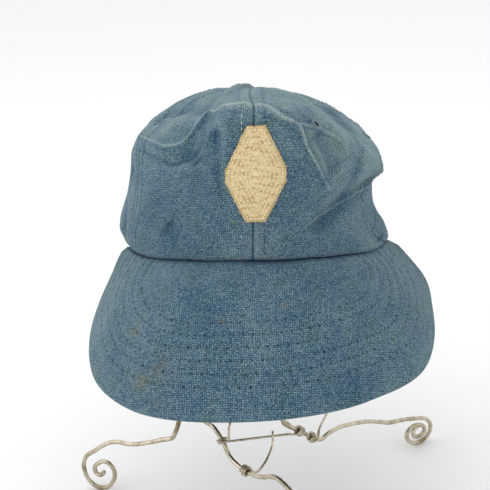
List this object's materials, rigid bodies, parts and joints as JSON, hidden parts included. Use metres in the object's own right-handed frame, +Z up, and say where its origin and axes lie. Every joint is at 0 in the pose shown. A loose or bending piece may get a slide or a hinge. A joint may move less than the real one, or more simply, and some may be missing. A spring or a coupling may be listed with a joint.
{
  "type": "six-panel cap on a wire hat stand",
  "caption": "Soft cloth cap with a high dented front, sewn panels and a drooping stitched peak, standing on a tripod hat stand of bent wire with scroll feet.",
  "frame": {"origin": "on the floor, under the middle of the bounding box", "axes": "+Z up; the cap faces -Y, and +X is on the right as seen from the front"},
  "size_m": [0.2259, 0.2551, 0.2626],
  "materials": {
    "washed_blue_cloth": "washed, faded plain weave",
    "cream_felt": "matt, aged, chain stitched",
    "nickel_wire": "bright, slightly tarnished"
  },
  "bodies": {
    "root": {"panel_front_left": "washed_blue_cloth", "panel_front_right": "washed_blue_cloth", "panel_side_left": "washed_blue_cloth", "panel_side_right": "washed_blue_cloth", "panel_back_left": "washed_blue_cloth", "panel_back_right": "washed_blue_cloth", "peak": "washed_blue_cloth", "button": "washed_blue_cloth", "eyelet_front_right": "washed_blue_cloth", "eyelet_side_left": "washed_blue_cloth", "eyelet_side_right": "washed_blue_cloth", "eyelet_back_left": "washed_blue_cloth", "eyelet_back_right": "washed_blue_cloth", "front_patch": "cream_felt", "leg_left": "nickel_wire", "leg_right": "nickel_wire", "leg_front": "nickel_wire", "brace": "nickel_wire", "tie_low": "nickel_wire", "tie_spare": "nickel_wire", "tie_high": "nickel_wire"}
  },
  "joints": []
}
